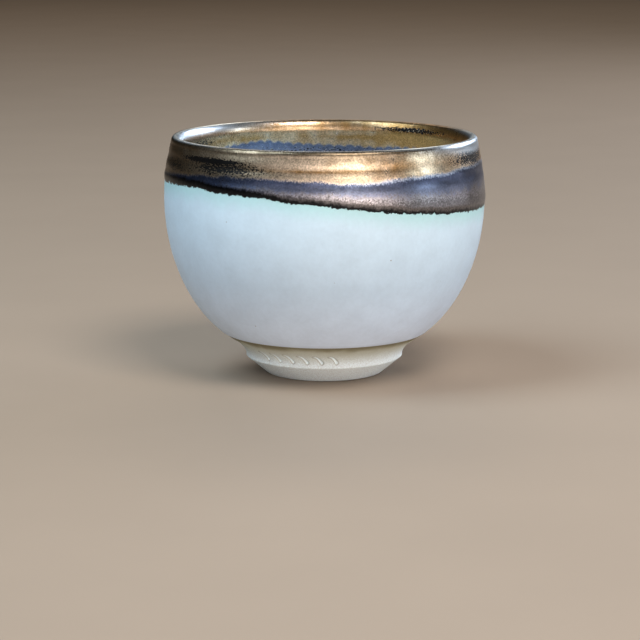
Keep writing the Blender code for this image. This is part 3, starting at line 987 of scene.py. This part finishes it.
def makeBareClay():
    material, tree = newMaterial("bareStoneware")
    look = bareClay
    place = addPlace(tree)
    height = addNode(tree, "ShaderNodeSeparateXYZ", {0: place}, "Z")
    grain = addNode(tree, "ShaderNodeTexNoise",
                    {"Vector": place, "Scale": 1 / look["grainLength"], "Detail": 3.0}, 0)
    clouds = addNode(tree, "ShaderNodeTexNoise",
                     {"Vector": place, "Scale": 1 / look["cloudLength"], "Detail": 3.0}, 0)
    tone = addNode(tree, "ShaderNodeMapRange",
                   {0: grain, 1: look["grainNoise"][0], 2: look["grainNoise"][1]}, 0)
    clay = addNode(tree, "ShaderNodeMix",
                   {0: tone, 6: hexColor(look["clayDark"]), 7: hexColor(look["clay"])}, 2, data_type="RGBA")

    # painted shade, olive, up the cove under the belly, and toasting with painted shade beside the glaze,
    # both with a cloudy border
    wavy = addNode(tree, "ShaderNodeMath", {0: clouds, 1: look["cloudWander"], 2: height}, 0,
                   operation="MULTIPLY_ADD")
    middle = noiseMiddle * look["cloudWander"]
    glazeLine = foot["glazeLine"] + middle
    toastAndShade = addNode(tree, "ShaderNodeMapRange",
                    {0: wavy, 1: glazeLine - look["toastAndShadeReach"], 2: glazeLine - look["toastAndShadeFull"]}, 0,
                    interpolation_type="SMOOTHSTEP")
    coveShadeStart = foot["edgeHeight"] + middle + look["coveShadeStart"]
    shade = addNode(tree, "ShaderNodeMapRange", {0: wavy, 1: coveShadeStart, 2: foot["glazeLine"]}, 0)
    coveShaded = addNode(tree, "ShaderNodeMix", {0: shade, 6: clay, 7: hexColor(look["coveShade"])}, 2,
                     data_type="RGBA")
    toastedAndShaded = addNode(tree, "ShaderNodeMix", {0: toastAndShade, 6: coveShaded, 7: hexColor(look["toastAndShade"])}, 2,
                      data_type="RGBA")

    # each stroke has painted shade round its rim and a painted highlight, plain pale clay, in its middle
    stroke = addNode(tree, "ShaderNodeAttribute", output="Fac", attribute_name="stroke")
    strokeShadeShare = addNode(tree, "ShaderNodeMapRange",
                  {0: stroke, 1: 0.0, 2: look["strokeShadeWidth"], 3: 0.0, 4: look["strokeShadeStrength"]}, 0)
    strokeShaded = addNode(tree, "ShaderNodeMix", {0: strokeShadeShare, 6: toastedAndShaded, 7: hexColor(look["strokeShade"])}, 2,
                     data_type="RGBA")
    strokeHighlight = addNode(tree, "ShaderNodeMapRange", {0: stroke, 1: look["strokeHighlightStart"], 2: look["strokeHighlightFull"]}, 0)
    color = addNode(tree, "ShaderNodeMix", {0: strokeHighlight, 6: strokeShaded, 7: hexColor(look["clay"])}, 2,
                    data_type="RGBA")
    addSurface(tree, color, look["roughness"], 0.0, grain, look["relief"], IOR=look["ior"])
    return material


def makeCup():
    materials = [makeWhiteGlaze(), makeLustreGlaze(), makeBareClay()]
    print("materials made:", ", ".join(material.name for material in materials))
    mesh = turnOutline(cupOutline(), materials[0])
    mesh.materials.clear()
    for material in materials:
        mesh.materials.append(material)
    run, zone = shapeCup(mesh)
    chooseMaterials(mesh, run, zone)
    for name in ("rowRadius", "rowHeight", "zone"):
        mesh.attributes.remove(mesh.attributes[name])
    mesh.name = "sakeCup"
    cup = bpy.data.objects.new("sakeCup", mesh)
    bpy.context.scene.collection.objects.link(cup)
    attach(cup, "root")
    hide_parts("cup")
    print("cup:", len(mesh.vertices), "points,", len(mesh.polygons), "faces")


camera = {
    "lens": 130.9,
    "sensor": 36.0,
    "place": (-0.91, -483.67, 102.26),
    "down": 10.73,
    "near": 10.0,
    "far": 20000.0,
}


def makeCamera():
    data = bpy.data.cameras.new("camera")
    data.lens = camera["lens"]
    data.sensor_width = camera["sensor"]
    data.clip_start = camera["near"] * mm
    data.clip_end = camera["far"] * mm
    eye = bpy.data.objects.new("camera", data)
    eye.location = Vector(camera["place"]) * mm
    eye.rotation_euler = (math.radians(90.0 - camera["down"]), 0.0, 0.0)
    bpy.context.scene.collection.objects.link(eye)
    bpy.context.scene.camera = eye


# Soft lights around the cup: the angle round it and the rise above the level of the cup's middle,
# both in degrees, the distance from there, the panel's width and height, its power in watts and
# its colour
lights = (
    {"name": "window", "angle": 20.0, "rise": 15.5, "away": 700.0, "size": (250.0, 110.0), "power": 0.44,
     "color": "#fff8ee"},
    {"name": "front", "angle": 4.0, "rise": 12.0, "away": 700.0, "size": (1800.0, 230.0), "power": 1.5,
     "color": "#f2f2ff"},
    {"name": "lowFront", "angle": 20.0, "rise": 3.5, "away": 700.0, "size": (760.0, 50.0), "power": 1.6,
     "color": "#fff4f0"},
    {"name": "lowRight", "angle": 88.0, "rise": -0.5, "away": 700.0, "size": (700.0, 26.0), "power": 0.39,
     "color": "#eaf0ff"},
    {"name": "right", "angle": 76.0, "rise": 17.5, "away": 700.0, "size": (80.0, 200.0), "power": 0.8,
     "color": "#cbdded"},
    {"name": "backRight", "angle": 132.0, "rise": 22.0, "away": 900.0, "size": (620.0, 320.0), "power": 4.2,
     "color": "#e4eeff"},
    {"name": "highRight", "angle": 28.0, "rise": 54.0, "away": 800.0, "size": (340.0, 340.0), "power": 6.6,
     "color": "#f6f4f2"},
    {"name": "highLeft", "angle": -75.0, "rise": 58.0, "away": 900.0, "size": (400.0, 400.0), "power": 7.4,
     "color": "#c8e2f6"},
    {"name": "fillLeft", "angle": -65.0, "rise": 36.0, "away": 900.0, "size": (350.0, 350.0), "power": 2.3,
     "color": "#d2e6f8"},
    {"name": "farFloor", "angle": 180.0, "rise": 40.0, "away": 1900.0, "size": (1200.0, 500.0),
     "power": 8.0, "color": "#fff0dc"},
)

surroundings = {"color": "#8a8f96", "strength": 0.025}


def makeLights():
    target = Vector((0.0, 0.0, 0.5 * bowl["height"])) * mm
    for panel in lights:
        data = bpy.data.lights.new(panel["name"], "AREA")
        data.shape = "RECTANGLE"
        data.size = panel["size"][0] * mm
        data.size_y = panel["size"][1] * mm
        data.energy = panel["power"]
        data.color = hexColor(panel["color"])[:3]
        light = bpy.data.objects.new(panel["name"], data)
        angle, rise = math.radians(panel["angle"]), math.radians(panel["rise"])
        way = Vector((math.sin(angle) * math.cos(rise), -math.cos(angle) * math.cos(rise), math.sin(rise)))
        light.location = target + way * panel["away"] * mm
        light.rotation_euler = way.to_track_quat("Z", "Y").to_euler()
        bpy.context.scene.collection.objects.link(light)
    world = bpy.data.worlds.new("studio")
    world.use_nodes = True
    backdrop = world.node_tree.nodes["Background"]
    backdrop.inputs["Color"].default_value = hexColor(surroundings["color"])
    backdrop.inputs["Strength"].default_value = surroundings["strength"]
    bpy.context.scene.world = world
    bpy.context.scene.view_settings.view_transform = "Standard"


# A plain matt floor, painted, with faintly uneven colour; it lies a hair below the foot
floor = {
    "radius": 3000.0,
    "sides": 96,
    "below": 0.05,
    "color": "#8b7a69",
    "cloudLength": 40.0,
    "shades": (0.98, 1.02),
    "roughness": 0.7,
    "ior": 1.45,
}


def makeFloor():
    material, tree = newMaterial("paleFloor")
    clouds = addNode(tree, "ShaderNodeTexNoise",
                     {"Vector": addPlace(tree), "Scale": 1 / floor["cloudLength"], "Detail": 4.0}, 0)
    tone = addNode(tree, "ShaderNodeMapRange",
                   {0: clouds, 1: noiseLow, 2: noiseHigh, 3: floor["shades"][0], 4: floor["shades"][1]}, 0)
    color = addNode(tree, "ShaderNodeVectorMath", {0: hexColor(floor["color"])[:3], "Scale": tone}, 0,
                    operation="SCALE")
    addSurface(tree, color, floor["roughness"], 0.0, IOR=floor["ior"])
    mesh = bpy.data.meshes.new("floor")
    radius = floor["radius"] * mm
    corners = [(radius * math.cos(turn), radius * math.sin(turn), -floor["below"] * mm)
               for turn in np.linspace(0.0, math.tau, floor["sides"] + 1)[:-1]]
    mesh.from_pydata(corners, [], [tuple(range(len(corners)))])
    mesh.materials.append(material)
    ground = bpy.data.objects.new("floor", mesh)
    bpy.context.scene.collection.objects.link(ground)


makeCamera()
makeLights()
makeFloor()
print("camera, lights and floor placed")
makeCup()
